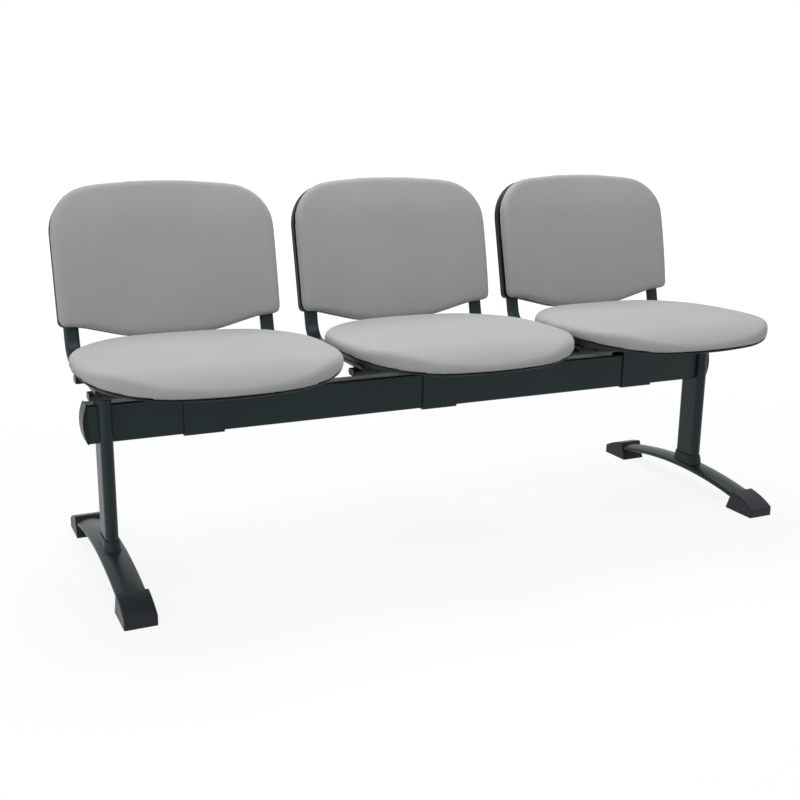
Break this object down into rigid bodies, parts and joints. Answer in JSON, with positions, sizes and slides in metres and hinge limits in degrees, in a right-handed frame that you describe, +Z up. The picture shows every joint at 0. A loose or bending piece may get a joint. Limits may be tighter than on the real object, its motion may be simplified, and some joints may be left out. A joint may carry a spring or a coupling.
{
  "type": "beam seating",
  "caption": "Waiting-room bench: padded seats and backrests on a steel beam between T-shaped legs with arched feet.",
  "frame": {"origin": "on the floor, at the middle of the bench's outer box", "axes": "+X along the beam towards the sitter's left, -Y is the way the seats face, +Z up"},
  "size_m": [1.518, 0.5759, 0.7371],
  "materials": {
    "upholstery": "smooth light grey woven upholstery fabric, matt",
    "shell_plastic": "moulded black polypropylene with a fine grain",
    "frame_paint": "black powder coat with a low gloss",
    "foot_plastic": "moulded black plastic, slightly greyed",
    "plug_plastic": "moulded black plastic",
    "board_wood": "raw pressed beech plywood",
    "fastener_zinc": "zinc-plated steel"
  },
  "bodies": {
    "root": {"seat_1_cushion": "upholstery", "seat_1_board": "board_wood", "seat_1_shell": "shell_plastic", "seat_1_screws": "fastener_zinc", "back_1_cushion": "upholstery", "back_1_board": "board_wood", "back_1_shell": "shell_plastic", "back_1_screws": "fastener_zinc", "upright_1_left": "frame_paint", "upright_1_right": "frame_paint", "cross_tube_1_front": "frame_paint", "cross_tube_1_rear": "frame_paint", "tube_plugs_1": "plug_plastic", "beam_bracket_1": "frame_paint", "seat_2_cushion": "upholstery", "seat_2_board": "board_wood", "seat_2_shell": "shell_plastic", "seat_2_screws": "fastener_zinc", "back_2_cushion": "upholstery", "back_2_board": "board_wood", "back_2_shell": "shell_plastic", "back_2_screws": "fastener_zinc", "upright_2_left": "frame_paint", "upright_2_right": "frame_paint", "cross_tube_2_front": "frame_paint", "cross_tube_2_rear": "frame_paint", "tube_plugs_2": "plug_plastic", "beam_bracket_2": "frame_paint", "seat_3_cushion": "upholstery", "seat_3_board": "board_wood", "seat_3_shell": "shell_plastic", "seat_3_screws": "fastener_zinc", "back_3_cushion": "upholstery", "back_3_board": "board_wood", "back_3_shell": "shell_plastic", "back_3_screws": "fastener_zinc", "upright_3_left": "frame_paint", "upright_3_right": "frame_paint", "cross_tube_3_front": "frame_paint", "cross_tube_3_rear": "frame_paint", "tube_plugs_3": "plug_plastic", "beam_bracket_3": "frame_paint", "beam": "frame_paint", "beam_cap_left": "plug_plastic", "beam_cap_right": "plug_plastic", "column_left": "frame_paint", "column_cap_left": "plug_plastic", "collar_left": "foot_plastic", "foot_bar_left": "frame_paint", "foot_pad_left_front": "foot_plastic", "foot_pad_left_rear": "foot_plastic", "column_right": "frame_paint", "column_cap_right": "plug_plastic", "collar_right": "foot_plastic", "foot_bar_right": "frame_paint", "foot_pad_right_front": "foot_plastic", "foot_pad_right_rear": "foot_plastic", "bracket_bolts": "fastener_zinc", "leg_screws": "fastener_zinc"}
  },
  "joints": []
}
